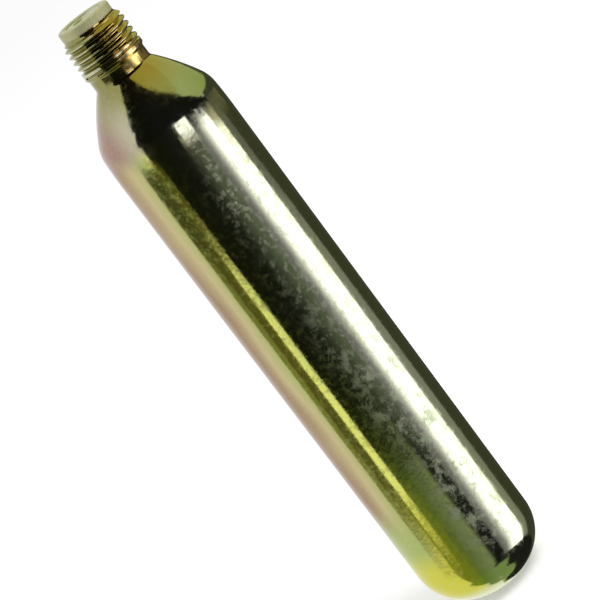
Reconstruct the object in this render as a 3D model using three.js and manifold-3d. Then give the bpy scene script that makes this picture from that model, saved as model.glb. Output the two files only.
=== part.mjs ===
// Carbon dioxide cartridge: a seamless steel bottle, drawn from sheet and spun in at the
// shoulder to a threaded neck, closed by a stamped steel disc that is welded into the mouth.
// Millimetres, +Z up along the axis, the origin at the middle of the base, where it stands.
// The bottle is sealed, so it is one solid inside. The thread on its neck is a half-inch fine
// thread with 20 turns to the inch, right hand, and is cut as its real groove.

import Module from "manifold-3d";
import * as THREE from "three";
import { mergeVertices } from "three/addons/utils/BufferGeometryUtils.js";

// Bottle, from the base up
const OVERALL_LENGTH = 134.5;
const BODY_DIAMETER = 25.4;
const BASE_FLAT_DIAMETER = 5.6;
const SHOULDER_KNUCKLE_RADIUS = 7;
const SHOULDER_KNUCKLE_TURN = THREE.MathUtils.degToRad(28.6);
const SHOULDER_CROWN_RADIUS = 45;

// Neck, from the top down
const TIP_DIAMETER = 10.8;
const TIP_LENGTH = 2.2;
const TIP_BREAK = 0.3;
const THREAD_MAJOR_DIAMETER = 12.7;
const THREAD_LEAD = 1.1;
const THREAD_FOOT = 9.8;
const THREAD_PITCH = 25.4 / 20;
const THREAD_DEPTH = 0.78;
const THREAD_CREST = 0.16;
const THREAD_FLANK_ANGLE = THREE.MathUtils.degToRad(30);
const THREAD_RUN_OUT = 1.5;
const THREAD_LAND = 0.3;
const NECK_LENGTH = 12.2;
const NECK_RELIEF_DEPTH = 0.4;
const NECK_RELIEF_SLOPE = 0.5;
const NECK_FILLET_RADIUS = 1;

// Mouth and its seal
const MOUTH_DIAMETER = 7.8;
const MOUTH_DEPTH = 1.7;
const MOUTH_BREAK = 0.25;
const SEAL_CLEARANCE = 0.15;
const SEAL_RECESS = 0.3;
const SEAL_EDGE_RADIUS = 0.35;
const SEAL_DIMPLE_DIAMETER = 4.4;
const SEAL_DIMPLE_DEPTH = 0.55;

// How finely round stretches are cut
const SEGMENTS_AROUND = 60;
const THREAD_STEPS_AROUND = 30;
const BASE_STEPS = 12;
const KNUCKLE_STEPS = 5;
const CROWN_STEPS = 4;
const FILLET_STEPS = 4;
const DIMPLE_STEPS = 5;

const QUARTER_TURN = Math.PI / 2;
const FULL_TURN = Math.PI * 2;

const manifoldLibrary = await Module();
manifoldLibrary.setup();

// A closed solid turned about +Z from a path of (radius, height), which runs anticlockwise
// from the axis at the bottom to the axis at the top.
function turned(path) {
  const profile = path.curves.flatMap((curve, index) => {
    const points = curve.getPoints(curve.steps ?? 1);
    return index === 0 ? points : points.slice(1);
  });
  return new THREE.LatheGeometry(profile, SEGMENTS_AROUND).rotateX(QUARTER_TURN);
}

// Adds an arc of a circle to a path, cut into the given number of steps.
function addArc(path, centre, radius, from, to, steps) {
  path.absarc(centre.x, centre.y, radius, from, to, to < from);
  path.curves.at(-1).steps = steps;
}

// The shoulder's arcs: a knuckle that leaves the body wall, a flatter crown that goes on from
// it, and a hollow fillet that runs the crown out on the neck. Each is tangent to the next.
function shoulderArcs(bodyRadius, neckRadius) {
  const knuckleRadius = bodyRadius - SHOULDER_KNUCKLE_RADIUS;
  const toCrown = SHOULDER_CROWN_RADIUS - SHOULDER_KNUCKLE_RADIUS;
  const crownRadius = knuckleRadius - toCrown * Math.cos(SHOULDER_KNUCKLE_TURN);
  const filletRadius = neckRadius + NECK_FILLET_RADIUS;
  const between = SHOULDER_CROWN_RADIUS + NECK_FILLET_RADIUS;
  const crownToFillet = Math.sqrt(between ** 2 - (filletRadius - crownRadius) ** 2);

  const filletHeight = OVERALL_LENGTH - NECK_LENGTH;
  const crownHeight = filletHeight - crownToFillet;
  const knuckleHeight = crownHeight + toCrown * Math.sin(SHOULDER_KNUCKLE_TURN);
  return {
    knuckle: new THREE.Vector2(knuckleRadius, knuckleHeight),
    crown: new THREE.Vector2(crownRadius, crownHeight),
    fillet: new THREE.Vector2(filletRadius, filletHeight),
    crownTurn: Math.asin(crownToFillet / between),
  };
}

// The same closed mesh as a solid that can be cut. Its seams and poles are merged first.
function toSolid(geometry) {
  const bare = geometry.clone();
  bare.deleteAttribute("normal");
  bare.deleteAttribute("uv");
  const merged = mergeVertices(bare);
  const corners = [...merged.index.array];
  const triVerts = [];
  for (let at = 0; at < corners.length; at += 3) {
    const triangle = corners.slice(at, at + 3);
    if (new Set(triangle).size === 3) triVerts.push(...triangle);
  }
  const mesh = new manifoldLibrary.Mesh({
    numProp: 3,
    vertProperties: merged.getAttribute("position").array,
    triVerts: new Uint32Array(triVerts),
  });
  return new manifoldLibrary.Manifold(mesh);
}

function fromSolid(solid) {
  const mesh = solid.getMesh();
  const geometry = new THREE.BufferGeometry();
  geometry.setAttribute("position", new THREE.BufferAttribute(mesh.vertProperties, 3));
  geometry.setIndex(new THREE.BufferAttribute(mesh.triVerts, 1));
  geometry.computeVertexNormals();
  return geometry;
}

// The thread's groove: a straight bar of its section is extruded along Z, with the height in X
// and the radius in Y, and is then wound up the neck as a right-hand helix. Near the thread's
// foot it climbs out along a cone, as the lead of a thread die leaves it, and ends at a land.
function threadGroove() {
  const crestRadius = THREAD_MAJOR_DIAMETER / 2;
  const openHalf = (THREAD_PITCH - THREAD_CREST) / 2;
  const rootHalf = openHalf - THREAD_DEPTH * Math.tan(THREAD_FLANK_ANGLE);
  const outside = crestRadius + THREAD_DEPTH;
  const section = new THREE.Shape();
  section.moveTo(-rootHalf, crestRadius - THREAD_DEPTH);
  section.lineTo(rootHalf, crestRadius - THREAD_DEPTH);
  section.lineTo(openHalf, crestRadius);
  section.lineTo(openHalf, outside);
  section.lineTo(-openHalf, outside);
  section.lineTo(-openHalf, crestRadius);

  const foot = OVERALL_LENGTH - THREAD_FOOT;
  const fadeEnd = foot + THREAD_LAND;
  const start = foot + openHalf;
  const turns = (OVERALL_LENGTH + THREAD_PITCH - start) / THREAD_PITCH;
  const steps = Math.round(turns * THREAD_STEPS_AROUND);
  const bar = new THREE.ExtrudeGeometry(section, { depth: turns, steps, bevelEnabled: false });
  const place = bar.getAttribute("position");
  for (let index = 0; index < place.count; index++) {
    const turn = place.getZ(index) * FULL_TURN;
    const height = start + place.getX(index) + place.getZ(index) * THREAD_PITCH;
    const climb = Math.max(0, fadeEnd + THREAD_RUN_OUT - height) / THREAD_RUN_OUT;
    const radius = place.getY(index) + climb * THREAD_DEPTH;
    place.setXYZ(index, radius * Math.cos(turn), radius * Math.sin(turn), height);
  }
  return bar;
}

// The bottle before its thread is cut
function blankGeometry() {
  const bodyRadius = BODY_DIAMETER / 2;
  const baseFlatRadius = BASE_FLAT_DIAMETER / 2;
  const baseCornerRadius = bodyRadius - baseFlatRadius;
  const threadRadius = THREAD_MAJOR_DIAMETER / 2;
  const neckRadius = threadRadius - NECK_RELIEF_DEPTH;
  const threadFoot = OVERALL_LENGTH - THREAD_FOOT;
  const tipRadius = TIP_DIAMETER / 2;
  const tipFoot = OVERALL_LENGTH - TIP_LENGTH;
  const mouthRadius = MOUTH_DIAMETER / 2;
  const { knuckle, crown, fillet, crownTurn } = shoulderArcs(bodyRadius, neckRadius);

  const outline = new THREE.Path();
  outline.moveTo(0, 0);
  outline.lineTo(baseFlatRadius, 0);
  const baseCorner = new THREE.Vector2(baseFlatRadius, baseCornerRadius);
  addArc(outline, baseCorner, baseCornerRadius, -QUARTER_TURN, 0, BASE_STEPS);
  outline.lineTo(bodyRadius, knuckle.y);
  addArc(outline, knuckle, SHOULDER_KNUCKLE_RADIUS, 0, SHOULDER_KNUCKLE_TURN, KNUCKLE_STEPS);
  addArc(outline, crown, SHOULDER_CROWN_RADIUS, SHOULDER_KNUCKLE_TURN, crownTurn, CROWN_STEPS);
  addArc(outline, fillet, NECK_FILLET_RADIUS, Math.PI + crownTurn, Math.PI, FILLET_STEPS);
  outline.lineTo(neckRadius, threadFoot - NECK_RELIEF_SLOPE);
  outline.lineTo(threadRadius, threadFoot);
  outline.lineTo(threadRadius, tipFoot - THREAD_LEAD);
  outline.lineTo(tipRadius, tipFoot);
  outline.lineTo(tipRadius, OVERALL_LENGTH - TIP_BREAK);
  outline.lineTo(tipRadius - TIP_BREAK, OVERALL_LENGTH);
  outline.lineTo(mouthRadius + MOUTH_BREAK, OVERALL_LENGTH);
  outline.lineTo(mouthRadius, OVERALL_LENGTH - MOUTH_BREAK);
  outline.lineTo(mouthRadius, OVERALL_LENGTH - MOUTH_DEPTH);
  outline.lineTo(0, OVERALL_LENGTH - MOUTH_DEPTH);
  return turned(outline);
}

function bottleGeometry() {
  return fromSolid(toSolid(blankGeometry()).subtract(toSolid(threadGroove())));
}

// The seal's dimple is a shallow spherical cup, where the piercing pin goes through.
function sealCapGeometry() {
  const rimRadius = MOUTH_DIAMETER / 2 - SEAL_CLEARANCE;
  const thickness = MOUTH_DEPTH - SEAL_RECESS;
  const dimpleRadius = SEAL_DIMPLE_DIAMETER / 2;
  const cupRadius = (dimpleRadius ** 2 + SEAL_DIMPLE_DEPTH ** 2) / (2 * SEAL_DIMPLE_DEPTH);
  const cupHalfTurn = Math.asin(dimpleRadius / cupRadius);

  const outline = new THREE.Path();
  outline.moveTo(0, 0);
  outline.lineTo(rimRadius, 0);
  outline.lineTo(rimRadius, thickness - SEAL_EDGE_RADIUS);
  const edge = new THREE.Vector2(rimRadius - SEAL_EDGE_RADIUS, thickness - SEAL_EDGE_RADIUS);
  addArc(outline, edge, SEAL_EDGE_RADIUS, 0, QUARTER_TURN, FILLET_STEPS);
  outline.lineTo(dimpleRadius, thickness);
  const cup = new THREE.Vector2(0, thickness - SEAL_DIMPLE_DEPTH + cupRadius);
  addArc(outline, cup, cupRadius, cupHalfTurn - QUARTER_TURN, -QUARTER_TURN, DIMPLE_STEPS);
  return turned(outline);
}

// Zinc plate with a yellow chromate passivation: a bright, slightly green gold
const platedSteel = new THREE.MeshStandardMaterial({
  color: 0xc6bd86,
  roughness: 0.18,
  metalness: 1,
});
// The disc at the mouth is paler, and dull from the welding
const weldedSteel = new THREE.MeshStandardMaterial({
  color: 0xcdcdb2,
  roughness: 0.4,
  metalness: 1,
});

const cartridge = new THREE.Group();

const bottle = new THREE.Mesh(bottleGeometry(), platedSteel);
bottle.name = "bottle";
cartridge.add(bottle);

const sealCap = new THREE.Mesh(sealCapGeometry(), weldedSteel);
sealCap.name = "seal_cap";
sealCap.position.z = OVERALL_LENGTH - MOUTH_DEPTH;
cartridge.add(sealCap);

export default cartridge;
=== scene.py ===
"""Carbon dioxide cartridge: the plated steel bottle with its threaded neck, and the seal in its mouth.

Metres, +Z up along the axis, the origin at the middle of the base, as in the packed frame.
Round about, an azimuth of 0 is the side that faces the camera (-Y), and 90 is +X.
"""

import math

import bmesh
import bpy
from mathutils import Matrix, Vector


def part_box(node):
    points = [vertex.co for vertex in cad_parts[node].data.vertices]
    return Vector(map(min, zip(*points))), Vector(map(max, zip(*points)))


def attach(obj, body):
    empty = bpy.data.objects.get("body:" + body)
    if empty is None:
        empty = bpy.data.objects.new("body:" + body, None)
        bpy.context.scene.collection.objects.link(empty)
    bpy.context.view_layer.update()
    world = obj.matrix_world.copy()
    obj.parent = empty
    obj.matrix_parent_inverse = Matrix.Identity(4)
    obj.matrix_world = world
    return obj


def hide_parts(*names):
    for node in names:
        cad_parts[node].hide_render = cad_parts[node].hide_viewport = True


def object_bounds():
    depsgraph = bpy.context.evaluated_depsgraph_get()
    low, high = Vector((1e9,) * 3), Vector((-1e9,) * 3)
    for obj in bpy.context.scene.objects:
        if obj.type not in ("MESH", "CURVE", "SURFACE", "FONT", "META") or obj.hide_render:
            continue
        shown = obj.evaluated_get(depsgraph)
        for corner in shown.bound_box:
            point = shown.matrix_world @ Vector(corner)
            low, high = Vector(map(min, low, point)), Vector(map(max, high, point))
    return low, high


bl_info = {
    "name": "Carbon dioxide cartridge",
    "version": (1, 0, 0),
    "blender": (4, 5, 0),
    "location": "3D View > Sidebar > Cartridge",
    "description": "A threaded carbon dioxide cartridge, with a small studio around it",
    "category": "Object",
}

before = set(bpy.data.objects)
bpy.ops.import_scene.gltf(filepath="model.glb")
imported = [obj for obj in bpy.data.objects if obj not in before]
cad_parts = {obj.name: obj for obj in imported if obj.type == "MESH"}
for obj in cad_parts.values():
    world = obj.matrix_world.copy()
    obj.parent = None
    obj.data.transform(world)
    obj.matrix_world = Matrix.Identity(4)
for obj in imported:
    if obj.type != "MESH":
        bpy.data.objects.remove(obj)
cad_low, cad_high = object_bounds()
cap_low, cap_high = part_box("seal_cap")

MM = 0.001
BODY = "root"
FULL_TURN = 2 * math.pi
QUARTER_TURN = math.pi / 2

# How fine the meshes are
SHARP_ANGLE = math.radians(40)
MERGE_DISTANCE = 0.001 * MM
DISSOLVE_DISTANCE = 0.0005 * MM
BOTTLE_STEPS = 160
DISC_STEPS = 128
THREAD_STEPS = 128
CORNER_SEGMENTS = 4
BEAD_SEGMENTS = 20
RIPPLE_STEPS = 8

# Slopes of the thread's flanks and of its worn crests, out from the axis
FLANK_SLOPE = math.tan(math.radians(30))
WEAR_SLOPE = math.tan(math.radians(60))
# Where the groove starts, round from +X
THREAD_START = math.radians(199.3)
# How far the groove's cutter stands clear of the crests, and how far it reaches beyond them
CUTTER_CLEARANCE = 0.02 * MM
CUTTER_REACH = 0.6 * MM
# How many turns it goes on above the neck's end face
SPARE_TURNS = 1.5

# Where each zone of the plate starts and where it is full, as heights in millimetres
HEIGHTS = {
    "green_base": (30, 19),
    "lemon_base": (36, 18),
    "base": (18, 11),
    "under_base": (5.5, 2.2),
    "shoulder": (107, 112),
    "above_base": (6, 14),
    "lower_wall": (96, 30),
    "below_shoulder": (104, 94),
}
# The same across the bottle, from 0 at its rosy side (-X) to 1 at the other
SIDES = {
    # The first keeps the base's and the shoulder's tints, partly painted reflection, on the rosy side
    "film_and_reflection_side": (0.42, 0.3),
    "outer": (0.3, 0.16),
    "inner": (0.16, 0.3),
    "sage": (0.1, 0.28),
    "gold": (0.38, 0.58),
    "past_the_line": (0.38, 0.62),
    "before_the_edge": (0.9, 0.78),
    "past_the_rose": (0.1, 0.2),
}
# Between which levels of its noise each mark fades in
NOISE_EDGES = {
    "patches": (0.48, 0.63),
    "spots": (0.49, 0.6),
    "specks": (0.5, 0.68),
    "heat": (0.4, 0.7),
}
# How far the slow waves move the film's colours, as a share of the body's width
FILM_DRIFT = 0.12
# How far below the neck's root its film starts, and below the end face the tip's dull film
NECK_FADE = 8 * MM
TIP_FADE = (2 * MM, 1.6 * MM)
# Crests are bare from the first of these depths to the second, and from the thread's foot up
CREST_FADE = (0.06 * MM, 0.01 * MM)
FOOT_FADE = 1 * MM
# How much of its full strength each mark has
BARE_CRESTS = 0.7
SILVER_SPECKS = 0.1
CHALKY_SPOTS = 0.26
# How rough the plate is without marks, how much each mark adds, and how dull two of them are
POLISH = 0.07
ROUGHENING = {"brushed": 0.05, "chalky": 0.22, "spotted": 0.08, "specks": 0.05, "tip": 0.3}
DULLING = {"chalky": 0.4, "tip": 0.6}
# How rough the weld is at least, and how much its scale adds
WELD_ROUGHNESS = (0.2, 0.25)

# Where a Mix node has its factor, its two numbers and its two colours, and where it gives colour
MIX_FACTOR = 0
MIX_NUMBERS = (2, 3)
MIX_COLOURS = (6, 7)
MIXED_COLOUR = 2

# The studio's cards, from the furthest to the nearest: the azimuths and the elevations between
# which each hangs, in degrees, its colour, and how bright it is, where 1 is white. For a card
# that fades, how bright it is at its first azimuth and the azimuth of its full brightness follow.
CARDS = {
    "front_flag": ((-52, 95), (-57, 2), "FFFFFF", 0.012),
    "shoulder_flag": ((-56, 90), (2, 42), "FFFFFF", 0.008),
    "top_flag": ((-62, 70), (42, 90), "FFFFFF", 0.008),
    "edge_flag": ((94, 176), (-45, 8), "FFFFE0", 0.07),
    "patch_foot": ((84, 176), (8, 42), "E4F2A4", 0.58),
    "patch": ((70, 176), (42, 90), "ECF090", 0.5),
    "floor_card": ((-60, 2), (-60, -20), "DCF0A8", 0.34),
    "floor_fade": ((2, 16), (-50, -19), "E0F4A8", 0.02, 0.36, 14),
    "floor_cap": ((-75, 180), (-80, -54), "C8E890", 0.42),
    "floor_middle": ((-180, 180), (-89, -78), "C8E890", 0.42),
    "base_flag": ((44, 176), (-72, -43), "FFFFFF", 0.015),
    "olive_card": ((-82, -43), (-22, -9.3), "FFF8A8", 0.36),
    "olive_dark": ((-72, -43), (-21, -9.3), "FFF8A8", 0.13),
    "olive_top": ((-80, -43), (-12.5, -7.4), "FFF8A8", 0.09),
    "bright_edge": ((-56, -43), (-21.6, -13), "FFFFFF", 1.25),
    "side_top": ((89, 108), (-12, -8), "FFFFFF", 0.2),
    "side_card": ((89, 112), (-42, -12), "FFFFFF", 0.34),
    "neck_fill": ((8, 50), (-7.4, -5), "FFF4D4", 0.5),
    "neck_side": ((91, 135), (-8.2, -5), "FFF4D4", 0.2),
    "sheen": ((-16, 34), (-19.5, -9), "E0F4C8", 0.17, 0.012, 34),
    "softbox": ((34, 91), (-43.5, -5.2), "FFFFFF", 2.6, 0.2, 66),
    "softbox_end": ((74, 91), (-9.3, -5.2), "FFF4D4", 0.6),
    "window": ((14, 38), (-5.6, 2), "FFFFFF", 1.9),
}
# How far a card's first edge leans at its top, in degrees of azimuth
LEANING_EDGES = {"patch_foot": -14, "patch": -90}
# How far off the first card hangs, and how much nearer each next one, in metres
FIRST_CARD = 2.0
CARD_GAP = 0.01
CARD_STEP = math.radians(5)
FADE_POWER = 2

# The floor, in metres, and how far it glows for the camera alone
FLOOR_RADIUS = 4
FLOOR_SEGMENTS = 96
FLOOR_COLOUR = "EBEBEB"
FLOOR_LIFT = 0.3
# The lamp's side, its place and the point it faces, in metres
LAMP_SIZE = 0.5
LAMP_PLACE = (0.45, -0.35, 0.8)
LAMP_AIM = (0, 0, 0.05)
# The photograph's lens and sensor, in millimetres, and how far its picture is shifted
LENS = 158.26
SENSOR_WIDTH = 36
LENS_SHIFT = (-0.0243, 0.0479)


# Colours and units


def linear(hex_colour):
    """An sRGB hex colour as the linear red, green and blue that Blender's nodes work in."""
    levels = [int(hex_colour[at : at + 2], 16) / 255 for at in (0, 2, 4)]
    return [x / 12.92 if x <= 0.04045 else ((x + 0.055) / 1.055) ** 2.4 for x in levels]


def rgba(colour):
    """A linear colour with full alpha."""
    return (*colour, 1)


def length(name, description, default):
    """A property that holds a length in metres."""
    return bpy.props.FloatProperty(
        name=name,
        description=description,
        default=default,
        min=0,
        precision=5,
        subtype="DISTANCE",
        unit="LENGTH",
    )


def angle(name, description, degrees):
    """A property that holds an angle, given in degrees."""
    return bpy.props.FloatProperty(
        name=name,
        description=description,
        default=math.radians(degrees),
        subtype="ANGLE",
        unit="ROTATION",
    )


def colour(name, description, hex_colour):
    """A property that holds a colour, given as sRGB hex."""
    return bpy.props.FloatVectorProperty(
        name=name,
        description=description,
        default=linear(hex_colour),
        size=3,
        min=0,
        max=1,
        subtype="COLOR",
    )


def level(name, description, default):
    """A property that holds how bright a card or a lamp is, where 1 is white."""
    return bpy.props.FloatProperty(name=name, description=description, default=default, min=0)


# What a user would change


class BottleSizes(bpy.types.PropertyGroup):
    """The bottle's outline, from the base up."""

    overall_length: length("Length", "From the base to the neck's end face", cad_high.z)
    body_diameter: length("Body", "Diameter of the body", cad_high.x - cad_low.x)
    base_flat: length("Base flat", "Diameter of the flat it stands on", 5.6 * MM)
    ease_radius: length("Ease", "Radius where the wall starts to lean in", 90 * MM)
    ease_turn: angle("Ease turn", "How far the ease leans the wall", 3.5)
    knuckle_radius: length("Knuckle", "Radius where the wall turns in", 7 * MM)
    knuckle_turn: angle("Knuckle turn", "How far the knuckle turns the wall", 28.6)
    crown_radius: length("Crown", "Radius of the shoulder's dome", 45 * MM)
    neck_length: length("Neck", "From the shoulder's root to the end face", 12.2 * MM)
    neck_fillet: length("Neck fillet", "Radius between shoulder and neck", 1 * MM)
    relief_depth: length("Relief", "How much thinner the neck is below its thread", 0.4 * MM)
    relief_slope: length("Relief slope", "Height over which the relief runs out", 0.5 * MM)
    tip_diameter: length("Tip", "Diameter of the plain tip above the thread", 10.8 * MM)
    tip_length: length("Tip length", "Length of the plain tip", 2.2 * MM)
    tip_break: length("Tip break", "Bevel round the tip's end", 0.3 * MM)
    mouth_diameter: length("Mouth", "Diameter of the seal's seat", 7.8 * MM)
    mouth_depth: length("Mouth depth", "Depth of the seal's seat", 1.7 * MM)
    mouth_break: length("Mouth break", "Bevel round the mouth", 0.25 * MM)
    edge_radius: length("Edges", "Radius of the worn edges round the neck's end", 0.12 * MM)


class ThreadSizes(bpy.types.PropertyGroup):
    """The half-inch fine thread, 20 turns to the inch, right hand."""

    major_diameter: length("Major diameter", "Diameter over the crests", 12.7 * MM)
    pitch: length("Pitch", "From crest to crest", 25.4 * MM / 20)
    depth: length("Depth", "From the crests to the groove's root", 0.78 * MM)
    crest_width: length("Crest", "Width of each crest before it wears", 0.16 * MM)
    crest_wear: length("Crest wear", "Depth of the bevels along each crest", 0.03 * MM)
    foot: length("Foot", "From the thread's foot to the neck's end face", 9.8 * MM)
    lead: length("Lead-in", "Height of the chamfer above the thread", 1.1 * MM)
    run_out: length("Run-out", "Height over which the groove fades out", 1.5 * MM)
    land: length("Land", "Uncut height at the thread's foot", 0.3 * MM)


class SealSizes(bpy.types.PropertyGroup):
    """The stamped disc in the mouth, and its weld."""

    edge_radius: length("Edge", "Radius round the disc's top", 0.35 * MM)
    dimple_diameter: length("Dimple", "Diameter of the cup for the piercing pin", 4.4 * MM)
    dimple_depth: length("Dimple depth", "Depth of that cup", 0.55 * MM)
    lip_radius: length("Dimple lip", "Radius round that cup", 0.18 * MM)
    bead_thickness: length("Bead", "Thickness of the weld bead", 0.52 * MM)
    ripple_depth: length("Ripple", "Height of the steps between weld pulses", 0.05 * MM)
    ripples: bpy.props.IntProperty(
        name="Ripples",
        description="Weld pulses round the mouth",
        default=44,
        min=3,
    )


class FinishColours(bpy.types.PropertyGroup):
    """The passivated zinc's colours, partly as its film grows thicker and partly painted reflection,
    and what shows elsewhere.
    """

    # Tan to silver are partly painted reflection, the tints of the reflected bands across the bottle
    tan: colour("Tan", "The film at its thickest", "967956")
    straw: colour("Straw", "The next colour of the film", "C4B687")
    green: colour("Green", "A thinner film", "A9B56C")
    yellow: colour("Yellow", "The film's strongest colour", "D2D46A")
    silver: colour("Silver", "The thinnest film, almost bare zinc", "CDCFB8")
    # Lemon, cream, rose and sage are partly painted reflection, the tints of the reflections round the
    # base and shoulder
    lemon: colour("Lemon", "The film where the base ran dry last", "CCC94C")
    cream: colour("Cream", "The film under the base", "D9DEAE")
    rose: colour("Rose", "The film over the shoulder's worked steel", "A28679")
    sage: colour("Sage", "The film beside it, further round the shoulder", "BAB499")
    # Moss and gold are partly painted light: moss for the shade on the neck's rosy side, gold for the
    # highlight on the other
    moss: colour("Moss", "The film on the neck, on the rosy side", "8E8B54")
    gold: colour("Gold", "The film on the rest of the neck", "D6BA72")
    pale_olive: colour("Pale olive", "The dull film on the neck's tip", "B2B185")
    bare_steel: colour("Bare steel", "Crests that have lost their film", "D9D3BC")
    bloom: colour("Bloom", "Patches where the zinc has gone chalky", "A0AA8C")
    weld: colour("Weld", "The seal and its bead, plated with the rest", "B9B994")


class PlateGrain(bpy.types.PropertyGroup):
    """How coarse the marks in the plating are."""

    film_waves: length("Film waves", "Width of the waves in the film's colour", 11 * MM)
    dents: length("Dents", "Width of the waves that drawing leaves in the wall", 5 * MM)
    dent_depth: length("Dent depth", "Depth of those waves", 0.025 * MM)
    patches: length("Patches", "Width of the patches that have gone chalky", 3 * MM)
    mottle: length("Mottle", "Width of the dull spots", 1.1 * MM)
    speckle: length("Speckle", "Width of the deposit's own grain, as coarse as shows", 0.7 * MM)
    speckle_depth: length("Speckle depth", "Depth of that grain", 0.007 * MM)
    brushing: length("Brushing", "Width of the lines along the axis", 0.35 * MM)
    heat_tint: length("Heat tint", "Width of the patches that welding tints", 1.6 * MM)
    bead_scale: length("Weld scale", "Width of the scale on the weld", 0.25 * MM)
    scale_depth: length("Scale depth", "Depth of that scale", 0.01 * MM)


class StudioSettings(bpy.types.PropertyGroup):
    """The camera's angle, and how bright the studio's cards are."""

    camera_elevation: angle("Camera elevation", "Above the horizon", 15.5)
    camera_roll: angle("Camera roll", "How far the camera leans to its right", 36.81)
    camera_distance: length("Camera distance", "From the target", 492.6 * MM)
    target_height: length("Target height", "Of the point on the axis", 62.07 * MM)
    ambient: level("Ambient", "The room's light on the floor", 0.75)
    key_lamp: level("Key lamp", "Power of the soft lamp above, in watts", 5)
    cards: level("Cards", "How bright the cards are, against their set levels", 1)


# Modelling


def pen_down(bm, radius, height):
    """Starts an outline at a radius and a height, in the XZ plane."""
    return bm.verts.new((radius, 0, height))


def draw_line(bm, pen, radius, height, steps=1):
    """Draws a straight stretch of an outline and returns its last vertex."""
    start = pen.co.copy()
    end = Vector((radius, 0, height))
    for step in range(steps):
        pen = bmesh.ops.extrude_vert_indiv(bm, verts=[pen])["verts"][0]
        pen.co = start.lerp(end, (step + 1) / steps)
    return pen


def draw_arc(bm, pen, centre, turn, steps):
    """Draws an arc of an outline round a centre, anticlockwise, and returns its last vertex."""
    drawn = bmesh.ops.spin(
        bm,
        geom=[pen],
        cent=(centre[0], 0, centre[1]),
        axis=(0, -1, 0),
        angle=turn,
        steps=steps,
    )
    return next(item for item in drawn["geom_last"] if isinstance(item, bmesh.types.BMVert))


def round_corners(bm, corners, radius):
    """Rounds the given corners of an outline."""
    bmesh.ops.bevel(
        bm,
        geom=corners,
        offset=radius,
        segments=CORNER_SEGMENTS,
        profile=0.5,
        affect="VERTICES",
        material=-1,
    )


def revolve(bm, steps):
    """Turns an outline once round +Z into a closed surface that faces outwards."""
    bmesh.ops.spin(
        bm,
        geom=bm.verts[:] + bm.edges[:],
        cent=(0, 0, 0),
        axis=(0, 0, 1),
        angle=FULL_TURN,
        steps=steps,
        use_merge=True,
    )
    bmesh.ops.remove_doubles(bm, verts=bm.verts, dist=MERGE_DISTANCE)
    bmesh.ops.dissolve_degenerate(bm, edges=bm.edges, dist=DISSOLVE_DISTANCE)
    bmesh.ops.recalc_face_normals(bm, faces=bm.faces)


def finish_mesh(bm, name):
    """Ends a bmesh as a new object at the origin, smooth but for its sharp edges."""
    for face in bm.faces:
        face.smooth = True
    mesh = bpy.data.meshes.new(name)
    bm.to_mesh(mesh)
    bm.free()
    mesh.set_sharp_from_angle(angle=SHARP_ANGLE)
    piece = bpy.data.objects.new(name, mesh)
    bpy.context.scene.collection.objects.link(piece)
    return piece


def subtract(piece, cutter):
    """Cuts one closed object from another, and deletes the cutter."""
    cut = piece.modifiers.new("cut", "BOOLEAN")
    cut.operation = "DIFFERENCE"
    cut.solver = "EXACT"
    cut.object = cutter
    bpy.context.view_layer.update()
    evaluated = piece.evaluated_get(bpy.context.evaluated_depsgraph_get())
    mesh = bpy.data.meshes.new_from_object(evaluated)
    piece.modifiers.clear()
    piece.data = mesh
    bpy.data.objects.remove(cutter)
    mesh.set_sharp_from_angle(angle=SHARP_ANGLE)


def ride_as(piece, material, slot, *nodes):
    """Gives a finished piece its material, its body and the nodes it stands for; slot is not used."""
    piece.data.materials.clear()
    piece.data.materials.append(material)
    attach(piece, BODY)
    if nodes:
        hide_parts(*nodes)


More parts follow.
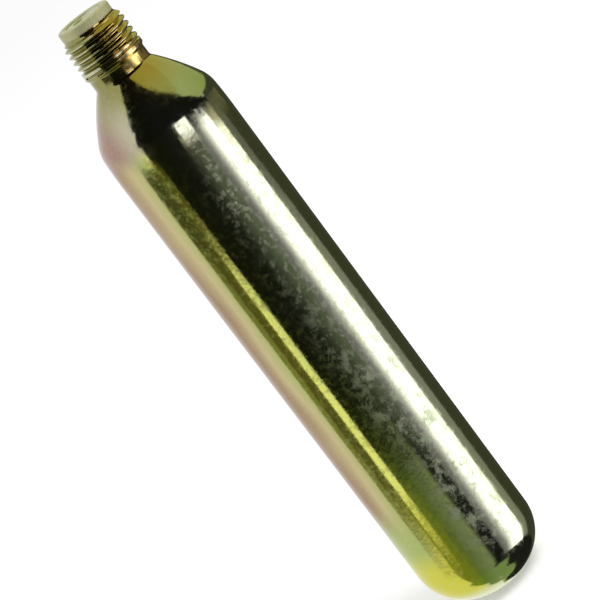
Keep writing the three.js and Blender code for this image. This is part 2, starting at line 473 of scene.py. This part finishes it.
def bottle_blank(sizes, thread):
    """The bottle before its thread is cut: one outline, from the base up, turned once round."""
    body_radius = sizes.body_diameter / 2
    flat_radius = sizes.base_flat / 2
    corner_radius = body_radius - flat_radius
    thread_radius = thread.major_diameter / 2
    neck_radius = thread_radius - sizes.relief_depth
    mouth_radius = sizes.mouth_diameter / 2
    top = sizes.overall_length
    thread_foot = top - thread.foot
    tip_radius = sizes.tip_diameter / 2
    tip_foot = top - sizes.tip_length

    # The ease, the knuckle, the crown and the neck's fillet are tangent arcs
    to_knuckle = sizes.ease_radius - sizes.knuckle_radius
    to_crown = sizes.crown_radius - sizes.knuckle_radius
    ease_out = body_radius - sizes.ease_radius
    knuckle_out = ease_out + to_knuckle * math.cos(sizes.ease_turn)
    crown_out = knuckle_out - to_crown * math.cos(sizes.knuckle_turn)
    fillet_out = neck_radius + sizes.neck_fillet
    between = sizes.crown_radius + sizes.neck_fillet
    crown_to_fillet = math.sqrt(between**2 - (fillet_out - crown_out) ** 2)
    crown_turn = math.asin(crown_to_fillet / between)
    fillet_height = top - sizes.neck_length
    crown_height = fillet_height - crown_to_fillet
    knuckle_height = crown_height + to_crown * math.sin(sizes.knuckle_turn)
    ease_height = knuckle_height - to_knuckle * math.sin(sizes.ease_turn)
    knuckle_turn = sizes.knuckle_turn - sizes.ease_turn

    bm = bmesh.new()
    pen = pen_down(bm, 0, 0)
    pen = draw_line(bm, pen, flat_radius, 0, steps=3)
    pen = draw_arc(bm, pen, (flat_radius, corner_radius), QUARTER_TURN, steps=36)
    pen = draw_line(bm, pen, body_radius, ease_height, steps=60)
    pen = draw_arc(bm, pen, (ease_out, ease_height), sizes.ease_turn, steps=8)
    pen = draw_arc(bm, pen, (knuckle_out, knuckle_height), knuckle_turn, steps=20)
    to_fillet = crown_turn - sizes.knuckle_turn
    pen = draw_arc(bm, pen, (crown_out, crown_height), to_fillet, steps=24)
    pen = draw_arc(bm, pen, (fillet_out, fillet_height), -crown_turn, steps=14)
    pen = draw_line(bm, pen, neck_radius, thread_foot - sizes.relief_slope)
    relief = pen
    pen = draw_line(bm, pen, thread_radius, thread_foot)
    foot = pen
    pen = draw_line(bm, pen, thread_radius, tip_foot - thread.lead)
    lead = pen
    pen = draw_line(bm, pen, tip_radius, tip_foot)
    tip = pen
    pen = draw_line(bm, pen, tip_radius, top - sizes.tip_break)
    tip_edge = pen
    pen = draw_line(bm, pen, tip_radius - sizes.tip_break, top)
    end_face = pen
    pen = draw_line(bm, pen, mouth_radius + sizes.mouth_break, top)
    mouth = pen
    pen = draw_line(bm, pen, mouth_radius, top - sizes.mouth_break)
    pen = draw_line(bm, pen, mouth_radius, top - sizes.mouth_depth)
    draw_line(bm, pen, 0, top - sizes.mouth_depth, steps=3)
    corners = [relief, foot, lead, tip, tip_edge, end_face, mouth]
    round_corners(bm, corners, sizes.edge_radius)
    revolve(bm, BOTTLE_STEPS)
    return bm


def thread_groove(sizes, thread):
    """The thread's groove as a solid to cut away: a 60 degree gap, swept up a right-hand helix.

    Towards the thread's foot it climbs out along a cone, as the lead of a thread die leaves it.
    """
    pitch = thread.pitch
    crest = thread.major_diameter / 2
    depth = thread.depth
    wear = thread.crest_wear

    # Half of the gap's section, from its root outwards, as radii and heights from its middle
    opening = (pitch - thread.crest_width) / 2
    root_half = opening - depth * FLANK_SLOPE
    flank_top_half = opening - wear * FLANK_SLOPE
    mouth_half = flank_top_half + (wear + CUTTER_CLEARANCE) * WEAR_SLOPE
    half_section = (
        (crest - depth, root_half / 2),
        (crest - depth + root_half * FLANK_SLOPE / 2, root_half),
        (crest - wear, flank_top_half),
        (crest + CUTTER_CLEARANCE, mouth_half),
        (crest + CUTTER_REACH, mouth_half),
    )

    foot = sizes.overall_length - thread.foot
    start = foot + opening
    turns = (sizes.overall_length - start) / pitch + SPARE_TURNS
    steps = round(turns * THREAD_STEPS)
    bm = bmesh.new()
    upper = [bm.verts.new((out, 0, start + up)) for out, up in half_section]
    lower = [bm.verts.new((out, 0, start - up)) for out, up in reversed(half_section)]
    section = bm.faces.new(upper + lower)
    bmesh.ops.spin(
        bm,
        geom=[section, *section.edges, *section.verts],
        cent=(0, 0, 0),
        axis=(0, 0, 1),
        dvec=(0, 0, turns * pitch / steps),
        angle=turns * FULL_TURN,
        steps=steps,
    )
    fade_start = foot + thread.land + thread.run_out
    for vert in bm.verts:
        below = fade_start - vert.co.z
        if below > 0:
            out = vert.co.xy.length
            vert.co.xy *= (out + depth * below / thread.run_out) / out
    bmesh.ops.rotate(
        bm,
        verts=bm.verts,
        cent=(0, 0, 0),
        matrix=Matrix.Rotation(THREAD_START, 3, "Z"),
    )
    bmesh.ops.recalc_face_normals(bm, faces=bm.faces)
    return bm


def seal_disc(sizes):
    """The stamped disc: flat, with a rounded rim and a shallow cup that the pin pierces."""
    rim = (cap_high.x - cap_low.x) / 2
    edge = sizes.edge_radius
    cup_edge = sizes.dimple_diameter / 2
    cup_depth = sizes.dimple_depth
    cup_radius = (cup_edge**2 + cup_depth**2) / (2 * cup_depth)
    cup_turn = math.asin(cup_edge / cup_radius)

    bm = bmesh.new()
    pen = pen_down(bm, 0, cap_low.z)
    pen = draw_line(bm, pen, rim, cap_low.z)
    pen = draw_line(bm, pen, rim, cap_high.z - edge)
    pen = draw_arc(bm, pen, (rim - edge, cap_high.z - edge), QUARTER_TURN, steps=10)
    pen = draw_line(bm, pen, cup_edge, cap_high.z, steps=3)
    lip = pen
    draw_arc(bm, pen, (0, cap_high.z - cup_depth + cup_radius), -cup_turn, steps=18)
    round_corners(bm, [lip], sizes.lip_radius)
    revolve(bm, DISC_STEPS)
    return bm


def weld_bead(sizes, mouth_diameter):
    """The bead between disc and mouth: a ring of overlapping pulses, each with a steep front."""
    ring_radius = (mouth_diameter + cap_high.x - cap_low.x) / 4
    bead_radius = sizes.bead_thickness / 2
    bm = bmesh.new()
    section = bmesh.ops.create_circle(
        bm,
        segments=BEAD_SEGMENTS,
        radius=bead_radius,
        matrix=Matrix.Translation((ring_radius, 0, cap_high.z - bead_radius / 2))
        @ Matrix.Rotation(QUARTER_TURN, 4, "X"),
    )
    bmesh.ops.spin(
        bm,
        geom=section["verts"] + bm.edges[:],
        cent=(0, 0, 0),
        axis=(0, 0, 1),
        angle=FULL_TURN,
        steps=sizes.ripples * RIPPLE_STEPS,
        use_merge=True,
    )
    for vert in bm.verts:
        around = math.atan2(vert.co.y, vert.co.x) / FULL_TURN % 1
        pulse = around * sizes.ripples % 1
        vert.co.z -= sizes.ripple_depth * pulse**2
    bmesh.ops.recalc_face_normals(bm, faces=bm.faces)
    return bm


# Materials


def add_node(tree, kind, inputs=None, **settings):
    """Adds a node with its settings; inputs holds values, or sockets to link."""
    node = tree.nodes.new(kind)
    for name, value in settings.items():
        setattr(node, name, value)
    for key, value in (inputs or {}).items():
        if isinstance(value, bpy.types.NodeSocket):
            tree.links.new(value, node.inputs[key])
        else:
            node.inputs[key].default_value = value
    return node


def set_ramp(node, stops):
    """Gives a colour ramp its stops, each a position and a linear colour."""
    ramp = node.color_ramp
    while len(ramp.elements) < len(stops):
        ramp.elements.new(1)
    for element, (position, stop) in zip(ramp.elements, stops):
        element.position = position
        element.color = rgba(stop)


def mix_colours(tree, factor, low, high):
    """Mixes two colours, each a socket or a linear colour, and returns the result's socket."""
    inputs = {MIX_FACTOR: factor}
    for key, value in zip(MIX_COLOURS, (low, high)):
        inputs[key] = value if isinstance(value, bpy.types.NodeSocket) else rgba(value)
    return add_node(tree, "ShaderNodeMix", inputs, data_type="RGBA").outputs[MIXED_COLOUR]


def ramp_up(tree, value, start, full):
    """Eases from 0, where a measure is at its start, to 1, where it is at its full."""
    node = add_node(
        tree,
        "ShaderNodeMapRange",
        {"Value": value, "From Min": start, "From Max": full},
        interpolation_type="SMOOTHSTEP",
    )
    return node.outputs["Result"]


def maths(tree, operation, *values):
    """A Math node's result."""
    inputs = dict(enumerate(values))
    return add_node(tree, "ShaderNodeMath", inputs, operation=operation).outputs[0]


def times(tree, product, *factors):
    """The product of some values."""
    for factor in factors:
        product = maths(tree, "MULTIPLY", product, factor)
    return product


def grain(tree, coordinates, size, detail=2.0, stretch=1.0, **more):
    """Noise whose features are about as wide as size, and longer along the axis by stretch."""
    mapping = add_node(
        tree,
        "ShaderNodeMapping",
        {"Vector": coordinates, "Scale": (1 / size, 1 / size, 1 / (size * stretch))},
    )
    inputs = {"Vector": mapping.outputs[0], "Scale": 1.0, "Detail": detail, **more}
    return add_node(tree, "ShaderNodeTexNoise", inputs).outputs["Fac"]


def new_material(name):
    """An empty material, returned with its tree."""
    material = bpy.data.materials.new(name)
    material.use_nodes = True
    tree = material.node_tree
    tree.nodes.clear()
    return material, tree


def add_surface(tree, kind, inputs=None):
    """Adds a material's last shader, and the output that shows it."""
    shader = add_node(tree, kind, inputs)
    add_node(tree, "ShaderNodeOutputMaterial", {"Surface": shader.outputs[0]})
    return shader


def film_and_reflection_colour(tree, place, side, colours, grains):
    """The film's colour, from one side of the bottle to the other in slow waves: partly the film's own
    tints, partly painted reflection, the tints of the studio's reflected bands.
    """
    waves = grain(tree, place, grains.film_waves, stretch=3)
    drift = maths(tree, "MULTIPLY_ADD", waves, FILM_DRIFT, -FILM_DRIFT / 2)
    # Partly painted reflection: the ramp runs across the bottle from its rosy side to the other,
    # tinting the reflected bands
    film = add_node(tree, "ShaderNodeValToRGB", {0: maths(tree, "ADD", side, drift)})
    set_ramp(
        film,
        (
            (0.04, colours.tan),
            (0.12, colours.straw),
            (0.2, colours.green),
            (0.28, colours.yellow),
            (0.38, colours.green),
            (0.5, colours.silver),
            (0.8, colours.silver),
            (1.0, colours.green),
        ),
    )
    return film.outputs[0]


def tint_ends(tree, coat, up, across, colours):
    """Green, then lemon round the base and cream under it, rosy to sage over the shoulder: partly the
    film's own tints, partly painted reflection.
    """
    # Partly painted reflection: these tints sit mostly on the rosy side, off the bright stripe on the
    # other
    tinted_left = across["film_and_reflection_side"]
    worked = mix_colours(tree, across["sage"], colours.rose, colours.sage)
    for zone, tint in (
        (times(tree, up["green_base"], across["outer"]), colours.green),
        (times(tree, up["lemon_base"], across["inner"], tinted_left), colours.lemon),
        (times(tree, up["base"], tinted_left), colours.lemon),
        (up["under_base"], colours.cream),
        (times(tree, up["shoulder"], tinted_left), worked),
    ):
        coat = mix_colours(tree, zone, coat, tint)
    return coat


def tint_neck(tree, coat, axes, across, colours, sizes, thread):
    """Moss to gold across the neck, with bare crests on its thread: the darker moss partly painted
    shade on the rosy side, the gold partly painted highlight.
    """
    x, y, height = axes
    root = sizes.overall_length - sizes.neck_length
    neck = ramp_up(tree, height, root - NECK_FADE, root)
    # Partly painted light: darker moss for the shade on the neck's rosy side, gold for the highlight's
    # colour on the other
    film = mix_colours(tree, across["gold"], colours.moss, colours.gold)
    coat = mix_colours(tree, neck, coat, film)
    radius = maths(tree, "SQRT", maths(tree, "ADD", times(tree, x, x), times(tree, y, y)))
    start, full = (thread.major_diameter / 2 - depth for depth in CREST_FADE)
    on_crest = ramp_up(tree, radius, start, full)
    foot = sizes.overall_length - thread.foot
    on_thread = ramp_up(tree, height, foot, foot + FOOT_FADE)
    bare = times(tree, on_crest, on_thread, BARE_CRESTS)
    return mix_colours(tree, bare, coat, colours.bare_steel)


def chromated_zinc_plate(colours, grains, sizes, thread):
    """Bright zinc on drawn steel, passivated in a yellow chromate bath.

    A mirror, slightly brushed along the axis, under a film whose thickness gives part of its
    colour: tan where the film is thickest, then straw, green and yellow, and silver where it is
    thin. Laid across the bottle from its rosy side to the other, these colours are also painted
    reflection: the tints of the studio's reflected bands, the yellow that of the bright edge's
    highlight.
    """
    material, tree = new_material("chromated_zinc_plate")
    shader = add_surface(tree, "ShaderNodeBsdfPrincipled")
    place = add_node(tree, "ShaderNodeTexCoord").outputs["Object"]
    axes = add_node(tree, "ShaderNodeSeparateXYZ", {0: place}).outputs[:]
    x, _, height = axes
    side = maths(tree, "MULTIPLY_ADD", x, 1 / sizes.body_diameter, 0.5)
    up = {
        name: ramp_up(tree, height, start * MM, full * MM)
        for name, (start, full) in HEIGHTS.items()
    }
    across = {name: ramp_up(tree, side, start, full) for name, (start, full) in SIDES.items()}

    coat = film_and_reflection_colour(tree, place, side, colours, grains)
    coat = tint_ends(tree, coat, up, across, colours)
    coat = tint_neck(tree, coat, axes, across, colours, sizes, thread)
    start, full = (sizes.overall_length - depth for depth in TIP_FADE)
    tip = ramp_up(tree, height, start, full)
    coat = mix_colours(tree, tip, coat, colours.pale_olive)

    # Chalky patches low on the wall, fine dull spots, and the deposit's own grain
    middle = times(tree, across["past_the_line"], across["before_the_edge"], up["above_base"])
    patches = grain(tree, place, grains.patches, detail=8, stretch=1.3, Roughness=0.66)
    patched = ramp_up(tree, patches, *NOISE_EDGES["patches"])
    patched = times(tree, patched, up["lower_wall"], middle)
    spots = grain(tree, place, grains.mottle, detail=5, stretch=1.3, Roughness=0.7)
    spotted = ramp_up(tree, spots, *NOISE_EDGES["spots"])
    spotted = times(tree, spotted, across["past_the_rose"])
    clouded = times(tree, spotted, up["below_shoulder"], middle, CHALKY_SPOTS)
    chalky = maths(tree, "MAXIMUM", patched, clouded)
    speckle = grain(tree, place, grains.speckle, detail=3)
    specks = ramp_up(tree, speckle, *NOISE_EDGES["specks"])
    coat = mix_colours(tree, times(tree, specks, SILVER_SPECKS), coat, colours.silver)
    coat = mix_colours(tree, chalky, coat, colours.bloom)
    tree.links.new(coat, shader.inputs["Base Color"])

    brushed = grain(tree, place, grains.brushing, detail=2, stretch=60)
    marks = {
        "brushed": brushed,
        "chalky": chalky,
        "spotted": spotted,
        "specks": specks,
        "tip": tip,
    }
    metallic = 1.0
    for name, loss in DULLING.items():
        metallic = maths(tree, "MULTIPLY_ADD", marks[name], -loss, metallic)
    tree.links.new(metallic, shader.inputs["Metallic"])
    roughness = POLISH
    for name, rise in ROUGHENING.items():
        roughness = maths(tree, "MULTIPLY_ADD", marks[name], rise, roughness)
    tree.links.new(roughness, shader.inputs["Roughness"])

    # Dents from drawing under the deposit's own relief
    dents = grain(tree, place, grains.dents, detail=1, stretch=1.6)
    drawn = add_node(tree, "ShaderNodeBump", {"Height": dents, "Distance": grains.dent_depth})
    relief = maths(tree, "MULTIPLY_ADD", chalky, speckle, speckle)
    pitted = add_node(
        tree,
        "ShaderNodeBump",
        {"Height": relief, "Distance": grains.speckle_depth, "Normal": drawn.outputs[0]},
    )
    tree.links.new(pitted.outputs[0], shader.inputs["Normal"])
    return material


def welded_plate(colours, grains):
    """Plated low-carbon steel, stamped and resistance welded: the same metal, duller and paler."""
    material, tree = new_material("welded_steel_plate")
    shader = add_surface(tree, "ShaderNodeBsdfPrincipled", {"Metallic": 1})
    place = add_node(tree, "ShaderNodeTexCoord").outputs["Object"]
    heat = grain(tree, place, grains.heat_tint, detail=3)
    heated = ramp_up(tree, heat, *NOISE_EDGES["heat"])
    tint = mix_colours(tree, heated, colours.weld, colours.silver)
    tree.links.new(tint, shader.inputs["Base Color"])
    scale = grain(tree, place, grains.bead_scale, detail=3)
    smoothest, rise = WELD_ROUGHNESS
    roughness = maths(tree, "MULTIPLY_ADD", scale, rise, smoothest)
    tree.links.new(roughness, shader.inputs["Roughness"])
    bump = add_node(tree, "ShaderNodeBump", {"Height": scale, "Distance": grains.scale_depth})
    tree.links.new(bump.outputs[0], shader.inputs["Normal"])
    return material


# Studio


def glowing(name, card_colour, strength, fade=None):
    """A card's material: an even glow, or one that rises from one azimuth to another.

    fade holds the strength where it starts, and the two azimuths, in radians.
    """
    material, tree = new_material(name)
    if fade:
        place = add_node(tree, "ShaderNodeTexCoord").outputs["Object"]
        axes = add_node(tree, "ShaderNodeSeparateXYZ", {0: place}).outputs
        forward = maths(tree, "MULTIPLY", axes["Y"], -1.0)
        azimuth = maths(tree, "ARCTAN2", axes["X"], forward)
        low, start, full = fade
        risen = maths(tree, "POWER", ramp_up(tree, azimuth, start, full), FADE_POWER)
        strength = maths(tree, "MULTIPLY_ADD", risen, strength - low, low)
    glow = {"Color": rgba(card_colour), "Strength": strength}
    add_surface(tree, "ShaderNodeEmission", glow)
    return material


def hang_card(name, distance, around, up, lean, material):
    """Hangs a curved card round the cartridge, which shows in the metal alone.

    around and up hold the azimuths and the elevations between which it hangs, and lean is how
    far its first edge leans at its top, all in radians.
    """
    bm = bmesh.new()
    low, high = up
    start, end = around
    pen = pen_down(bm, distance * math.cos(low), distance * math.sin(low))
    draw_arc(bm, pen, (0, 0), high - low, max(2, round((high - low) / CARD_STEP)))
    bmesh.ops.rotate(
        bm,
        verts=bm.verts,
        cent=(0, 0, 0),
        matrix=Matrix.Rotation(start - QUARTER_TURN, 3, "Z"),
    )
    bmesh.ops.spin(
        bm,
        geom=bm.verts[:] + bm.edges[:],
        cent=(0, 0, 0),
        axis=(0, 0, 1),
        angle=end - start,
        steps=max(2, round((end - start) / CARD_STEP)),
    )
    # Lean the first edge, and less and less what lies between it and the last
    for vert in bm.verts:
        azimuth = math.atan2(vert.co.x, -vert.co.y)
        elevation = math.atan2(vert.co.z, vert.co.xy.length)
        from_end = (end - azimuth) / (end - start)
        turn = lean * from_end * (elevation - low) / (high - low)
        vert.co.rotate(Matrix.Rotation(turn, 3, "Z"))
    bmesh.ops.translate(bm, verts=bm.verts, vec=(cad_low + cad_high) / 2)
    card = finish_mesh(bm, name)
    card.data.materials.append(material)
    card.visible_camera = False
    card.visible_diffuse = False
    card.visible_shadow = False
    card.visible_transmission = False


def hang_cards(studio):
    """Hangs the cards that draw the long stripes in the metal, each nearer than the last."""
    for order, (name, card) in enumerate(CARDS.items()):
        around, up, card_colour, strength, *faded = card
        around = [math.radians(value) for value in around]
        up = [math.radians(value) for value in up]
        fade = None
        if faded:
            first_strength, full = faded
            fade = (first_strength * studio.cards, around[0], math.radians(full))
        glow = glowing(name, linear(card_colour), strength * studio.cards, fade)
        lean = math.radians(LEANING_EDGES.get(name, 0))
        hang_card(name, FIRST_CARD - order * CARD_GAP, around, up, lean, glow)


def light_path_white(tree):
    """1 for camera, glossy and transmission rays, which see the white background, or else 0."""
    path = add_node(tree, "ShaderNodeLightPath").outputs
    seen = maths(tree, "ADD", path["Is Camera Ray"], path["Is Glossy Ray"])
    seen = maths(tree, "ADD", seen, path["Is Transmission Ray"])
    return maths(tree, "MINIMUM", seen, 1.0)


def light_room(studio):
    """A white background, with a plain level of light on what isn't metal."""
    scene = bpy.context.scene
    world = bpy.data.worlds.new("studio_room")
    world.use_nodes = True
    tree = world.node_tree
    tree.nodes.clear()
    dim, bright = MIX_NUMBERS
    levels = {MIX_FACTOR: light_path_white(tree), dim: studio.ambient, bright: 1.0}
    strength = add_node(tree, "ShaderNodeMix", levels, data_type="FLOAT").outputs[0]
    white = {"Color": (1, 1, 1, 1), "Strength": strength}
    background = add_node(tree, "ShaderNodeBackground", white)
    add_node(tree, "ShaderNodeOutputWorld", {"Surface": background.outputs[0]})
    scene.world = world

    lamp = bpy.data.lights.new("key_lamp", "AREA")
    lamp.energy = studio.key_lamp
    lamp.size = LAMP_SIZE
    holder = bpy.data.objects.new("key_lamp", lamp)
    holder.location = LAMP_PLACE
    aim = Vector(LAMP_AIM) - holder.location
    holder.rotation_euler = aim.to_track_quat("-Z", "Y").to_euler()
    holder.visible_glossy = False
    scene.collection.objects.link(holder)


def lay_floor():
    """A pale floor, white to the camera except for the cartridge's soft shadow."""
    bm = bmesh.new()
    bmesh.ops.create_circle(bm, segments=FLOOR_SEGMENTS, radius=FLOOR_RADIUS, cap_ends=True)
    floor = finish_mesh(bm, "floor")
    material, tree = new_material("studio_floor")
    matt = add_node(tree, "ShaderNodeBsdfDiffuse", {"Color": rgba(linear(FLOOR_COLOUR))})
    camera_ray = add_node(tree, "ShaderNodeLightPath").outputs["Is Camera Ray"]
    glow = add_node(tree, "ShaderNodeEmission", {"Strength": times(tree, camera_ray, FLOOR_LIFT)})
    add_surface(tree, "ShaderNodeAddShader", {0: matt.outputs[0], 1: glow.outputs[0]})
    floor.data.materials.append(material)
    floor.visible_glossy = False


def place_camera(studio):
    """The photograph's camera: above the neck's end, and leaning to its right."""
    scene = bpy.context.scene
    data = bpy.data.cameras.new("camera")
    data.sensor_width = SENSOR_WIDTH
    data.lens = LENS
    data.shift_x, data.shift_y = LENS_SHIFT
    camera = bpy.data.objects.new("camera", data)
    up = studio.camera_elevation
    back = Vector((0, -math.cos(up), math.sin(up)))
    target = Vector((0, 0, studio.target_height))
    look = (-back).to_track_quat("-Z", "Y").to_matrix()
    roll = Matrix.Rotation(-studio.camera_roll, 3, "Z")
    camera.rotation_euler = (look @ roll).to_euler()
    camera.location = target + back * studio.camera_distance
    scene.collection.objects.link(camera)
    scene.camera = camera


# Operators and panel


class CARTRIDGE_OT_bottle(bpy.types.Operator):
    """Turns the bottle and cuts the thread on its neck"""

    bl_idname = "cartridge.bottle"
    bl_label = "Bottle"

    def execute(self, context):
        sizes = context.scene.cartridge_bottle
        thread = context.scene.cartridge_thread
        bottle = finish_mesh(bottle_blank(sizes, thread), "threaded_bottle")
        groove = finish_mesh(thread_groove(sizes, thread), "thread_groove")
        subtract(bottle, groove)
        grains = context.scene.cartridge_grain
        plate = chromated_zinc_plate(context.scene.cartridge_colours, grains, sizes, thread)
        ride_as(bottle, plate, "plated_steel", "bottle")
        return {"FINISHED"}


class CARTRIDGE_OT_seal(bpy.types.Operator):
    """Stamps the seal disc and runs its weld bead round the mouth"""

    bl_idname = "cartridge.seal"
    bl_label = "Seal and weld"

    def execute(self, context):
        sizes = context.scene.cartridge_seal
        plate = welded_plate(context.scene.cartridge_colours, context.scene.cartridge_grain)
        disc = finish_mesh(seal_disc(sizes), "seal_disc")
        ride_as(disc, plate, "welded_steel", "seal_cap")
        mouth = context.scene.cartridge_bottle.mouth_diameter
        bead = finish_mesh(weld_bead(sizes, mouth), "weld_bead")
        ride_as(bead, plate, "welded_steel")
        return {"FINISHED"}


class CARTRIDGE_OT_studio(bpy.types.Operator):
    """Lays the floor, hangs the cards, lights the room and places the camera"""

    bl_idname = "cartridge.studio"
    bl_label = "Studio"

    def execute(self, context):
        studio = context.scene.cartridge_studio
        context.scene.view_settings.view_transform = "Standard"
        lay_floor()
        hang_cards(studio)
        light_room(studio)
        place_camera(studio)
        return {"FINISHED"}


class CARTRIDGE_PT_sidebar(bpy.types.Panel):
    """The cartridge's sizes, colours and studio"""

    bl_idname = "CARTRIDGE_PT_sidebar"
    bl_label = "Cartridge"
    bl_space_type = "VIEW_3D"
    bl_region_type = "UI"
    bl_category = "Cartridge"

    def draw(self, context):
        for name, group in PROPERTIES.items():
            box = self.layout.box()
            box.label(text=group.__doc__)
            settings = getattr(context.scene, name)
            for prop in group.__annotations__:
                box.prop(settings, prop)
        for operator in OPERATORS:
            self.layout.operator(operator.bl_idname)


PROPERTIES = {
    "cartridge_bottle": BottleSizes,
    "cartridge_thread": ThreadSizes,
    "cartridge_seal": SealSizes,
    "cartridge_colours": FinishColours,
    "cartridge_grain": PlateGrain,
    "cartridge_studio": StudioSettings,
}
OPERATORS = (CARTRIDGE_OT_bottle, CARTRIDGE_OT_seal, CARTRIDGE_OT_studio)
CLASSES = (*PROPERTIES.values(), *OPERATORS, CARTRIDGE_PT_sidebar)


def register():
    """Adds the cartridge's settings, operators and panel to Blender."""
    for cls in CLASSES:
        bpy.utils.register_class(cls)
    for name, group in PROPERTIES.items():
        setattr(bpy.types.Scene, name, bpy.props.PointerProperty(type=group))


def unregister():
    """Takes them away again."""
    for name in PROPERTIES:
        delattr(bpy.types.Scene, name)
    for cls in reversed(CLASSES):
        bpy.utils.unregister_class(cls)


def main():
    """Builds the cartridge and its studio."""
    register()
    bpy.ops.cartridge.bottle()
    bpy.ops.cartridge.seal()
    bpy.ops.cartridge.studio()


if __name__ == "__main__":
    main()
